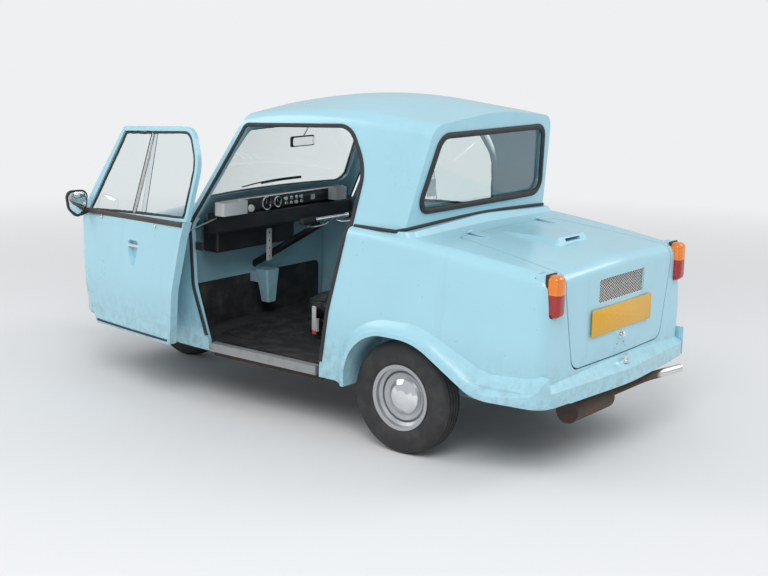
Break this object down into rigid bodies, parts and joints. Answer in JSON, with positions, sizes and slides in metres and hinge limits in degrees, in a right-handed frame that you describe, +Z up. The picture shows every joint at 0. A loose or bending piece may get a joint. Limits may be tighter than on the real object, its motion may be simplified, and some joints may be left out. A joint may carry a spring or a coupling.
{
  "type": "three wheeled car",
  "caption": "Small single-seat three-wheeled car with a moulded body, sliding doors, tiller steering, rear engine lid and front bonnet lid.",
  "frame": {"origin": "on the ground under the middle of the rear axle", "axes": "+X forward, +Y to the left, +Z up"},
  "size_m": [3.0001, 1.5245, 1.4682],
  "materials": {
    "body_paint": "pale ice-blue gel coat, weathered satin gloss",
    "grille_metal": "expanded diamond mesh",
    "glass": "clear window glass",
    "chassis_steel": "black paint with rust",
    "engine_block": "dirty cast metal",
    "exhaust_steel": "dull steel",
    "floor_mat": "ribbed rubber mat",
    "sill_alloy": "worn tread plate",
    "dash_black": "black moulded dashboard",
    "column_black": "black paint",
    "tiller_chrome": "plated tube",
    "seat_steel": "black paint",
    "seat_vinyl": "black grained vinyl",
    "belt_plastic": "pale moulded plastic",
    "lamp_lens": "ribbed lamp lens",
    "lamp_clear": "fluted lamp glass",
    "stay_steel": "bright rod",
    "tyre_rubber": "worn black rubber",
    "rim_steel": "silver paint",
    "hubcap_chrome": "polished",
    "handle_chrome": "polished",
    "mirror_black": "black shell with mirror glass"
  },
  "bodies": {
    "carriage": {"body_nose": "body_paint", "body_rear": "body_paint", "cabin_top": "body_paint", "chassis_frame": "chassis_steel", "dashboard": "dash_black", "door_left_handle": "handle_chrome", "door_left_mirror": "mirror_black", "door_left_panel": "body_paint", "door_left_panes": "glass", "door_left_stay": "stay_steel", "door_left_window_frame": "body_paint", "door_right_handle": "handle_chrome", "door_right_mirror": "mirror_black", "door_right_panel": "body_paint", "door_right_panes": "glass", "door_right_window_frame": "body_paint", "engine": "engine_block", "exhaust": "exhaust_steel", "floor_pan": "floor_mat", "headlamps": "lamp_clear", "rear_arms": "chassis_steel", "rear_bulkhead": "body_paint", "rear_lamps": "lamp_lens", "rear_window": "glass", "seat_back": "seat_vinyl", "seat_belt_buckle": "belt_plastic", "seat_cushion": "seat_vinyl", "seat_frame": "seat_steel", "sill_treads": "sill_alloy", "steering_column": "column_black", "toe_board": "body_paint", "windscreen": "glass"},
    "front_fork": {"front_fork": "chassis_steel"},
    "tiller": {"tiller": "tiller_chrome"},
    "engine_lid": {"engine_lid": "body_paint", "engine_lid_grille": "grille_metal"},
    "bonnet_lid": {"bonnet_lid": "body_paint"},
    "wheel_front": {"wheel_front_tyre": "tyre_rubber", "wheel_front_rim": "rim_steel", "wheel_front_hubcap": "hubcap_chrome"},
    "wheel_rear_left": {"wheel_rear_left_tyre": "tyre_rubber", "wheel_rear_left_rim": "rim_steel", "wheel_rear_left_hubcap": "hubcap_chrome"},
    "wheel_rear_right": {"wheel_rear_right_tyre": "tyre_rubber", "wheel_rear_right_rim": "rim_steel", "wheel_rear_right_hubcap": "hubcap_chrome"}
  },
  "joints": [
    {"name": "wheel_rear_left_spin", "type": "hinge", "parent": "carriage", "child": "wheel_rear_left", "pos_m": [0, 0.57, 0.244], "axis": [0, 1, 0], "continuous": true},
    {"name": "wheel_rear_right_spin", "type": "hinge", "parent": "carriage", "child": "wheel_rear_right", "pos_m": [0, -0.57, 0.244], "axis": [0, 1, 0], "continuous": true},
    {"name": "wheel_front_spin", "type": "hinge", "parent": "front_fork", "child": "wheel_front", "pos_m": [1.87, 0, 0.244], "axis": [0, 1, 0], "continuous": true},
    {"name": "tiller_turn", "type": "hinge", "parent": "carriage", "child": "tiller", "pos_m": [0.905, 0, 0.846], "axis": [-0.866, 0, 0.5], "range_deg": [-38, 38]},
    {"name": "front_steer", "type": "hinge", "parent": "carriage", "child": "front_fork", "pos_m": [1.87, 0, 0.244], "axis": [0, 0, 1], "range_deg": [-38, 38]},
    {"name": "engine_lid_hinge", "type": "hinge", "parent": "carriage", "child": "engine_lid", "pos_m": [-0.095, 0, 0.9235], "axis": [0, 1, 0], "range_deg": [0, 62]},
    {"name": "bonnet_lid_hinge", "type": "hinge", "parent": "carriage", "child": "bonnet_lid", "pos_m": [1.545, 0, 0.8847], "axis": [0, -1, 0], "range_deg": [0, 60]}
  ],
  "couplings": [
    {"joint": "tiller_turn", "follows": "front_steer", "ratio": 1}
  ]
}
